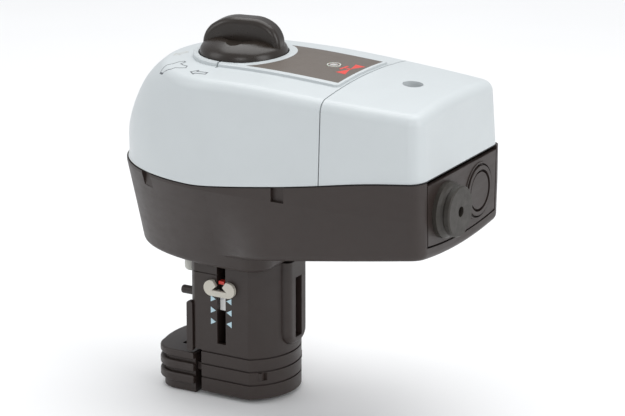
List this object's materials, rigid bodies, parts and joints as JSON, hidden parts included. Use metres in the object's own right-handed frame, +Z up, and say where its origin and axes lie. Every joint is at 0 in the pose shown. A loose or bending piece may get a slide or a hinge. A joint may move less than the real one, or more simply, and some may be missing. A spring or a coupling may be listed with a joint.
{
  "type": "motorized valve actuator",
  "caption": "Linear electric valve actuator with a light cover over a dark housing, a manual override knob, a stroke scale, a cable entry and a clamp neck.",
  "frame": {"origin": "centre of the valve-neck bore at the bottom face of the neck ring", "axes": "+Z up along the spindle axis, +X towards the cable end, -Y towards the stroke scale"},
  "size_m": [0.1934, 0.097, 0.1932],
  "materials": {
    "cover_light": "fine satin",
    "housing_dark": "fine satin",
    "knob_dark": "satin gloss",
    "label_brown": "printed film",
    "rubber_grey": "matt",
    "gasket_black": "matt",
    "clip_beige": "satin",
    "plug_grey": "satin",
    "mark_blue": "printed",
    "strip_white": "satin",
    "mark_red": "satin",
    "light_guide": "frosted clear",
    "steel": "turned",
    "brass": "turned",
    "gear_white": "moulded",
    "board_green": "solder mask",
    "block_grey": "moulded"
  },
  "bodies": {
    "root": {"lower_housing": "housing_dark", "cable_panel": "housing_dark", "cable_grommet": "rubber_grey", "blanking_plug": "housing_dark", "main_cover": "cover_light", "cover_gasket": "gasket_black", "label_plate": "label_brown", "light_ring": "light_guide", "neck_column": "housing_dark", "neck_screws": "steel", "rest_pin": "housing_dark", "drain_plug": "plug_grey", "scale_marks": "mark_blue", "lower_plate": "steel", "upper_plate": "steel", "gearbox_pillars": "brass", "gearbox_screws": "steel", "thrust_bearing": "steel", "idler_shaft": "steel", "motor": "steel", "circuit_board": "board_green", "board_screws": "steel", "terminal_block": "block_grey", "terminal_clamps": "steel"},
    "clutch_sleeve": {"clutch_sleeve": "gear_white"},
    "knob": {"knob": "knob_dark", "knob_shaft": "gear_white"},
    "nut_gear": {"nut_gear": "brass"},
    "spindle": {"spindle": "steel", "stem_coupling": "brass", "stroke_slider": "housing_dark", "white_strip": "strip_white", "red_pointer": "mark_red"},
    "idler_gear": {"idler_gear": "gear_white"},
    "motor_rotor": {"motor_pinion": "brass", "motor_shaft": "steel"},
    "reset_button": {"reset_button": "light_guide"},
    "terminal_cover": {"terminal_cover": "cover_light", "terminal_screw": "steel"},
    "stroke_clip": {"stroke_clip": "clip_beige"},
    "locking_slide": {"locking_slide": "housing_dark"}
  },
  "joints": [
    {"name": "knob_turn", "type": "hinge", "parent": "root", "child": "clutch_sleeve", "pos_m": [0, 0, 0.16], "axis": [0, 0, 1], "continuous": true},
    {"name": "knob_press", "type": "slide", "parent": "clutch_sleeve", "child": "knob", "axis": [0, 0, -1], "range_m": [0, 0.003], "stiffness_N_per_m": 1500},
    {"name": "nut_turn", "type": "hinge", "parent": "root", "child": "nut_gear", "pos_m": [0, 0, 0.1], "axis": [0, 0, 1], "range_deg": [0, 1800]},
    {"name": "spindle_stroke", "type": "slide", "parent": "root", "child": "spindle", "axis": [0, 0, -1], "range_m": [0, 0.02]},
    {"name": "idler_turn", "type": "hinge", "parent": "root", "child": "idler_gear", "pos_m": [0.03, 0, 0.1], "axis": [0, 0, 1], "range_deg": [-7200, 0]},
    {"name": "motor_turn", "type": "hinge", "parent": "root", "child": "motor_rotor", "pos_m": [0.054, 0, 0.105], "axis": [0, 0, 1], "range_deg": [0, 21600]},
    {"name": "reset_press", "type": "slide", "parent": "root", "child": "reset_button", "axis": [0, 0, -1], "range_m": [0, 0.0008], "stiffness_N_per_m": 800},
    {"name": "terminal_cover_lift", "type": "slide", "parent": "root", "child": "terminal_cover", "axis": [0, 0, 1], "range_m": [0, 0.06]},
    {"name": "clip_slide", "type": "slide", "parent": "root", "child": "stroke_clip", "axis": [0, 0, -1], "range_m": [-0.008, 0.024]},
    {"name": "lock_slide", "type": "slide", "parent": "root", "child": "locking_slide", "axis": [-1, 0, 0], "range_m": [0, 0.0155]}
  ],
  "couplings": [
    {"joint": "spindle_stroke", "follows": "nut_turn", "m_per_rad": 0.00063662},
    {"joint": "idler_turn", "follows": "nut_turn", "ratio": -4},
    {"joint": "motor_turn", "follows": "nut_turn", "ratio": 12}
  ]
}
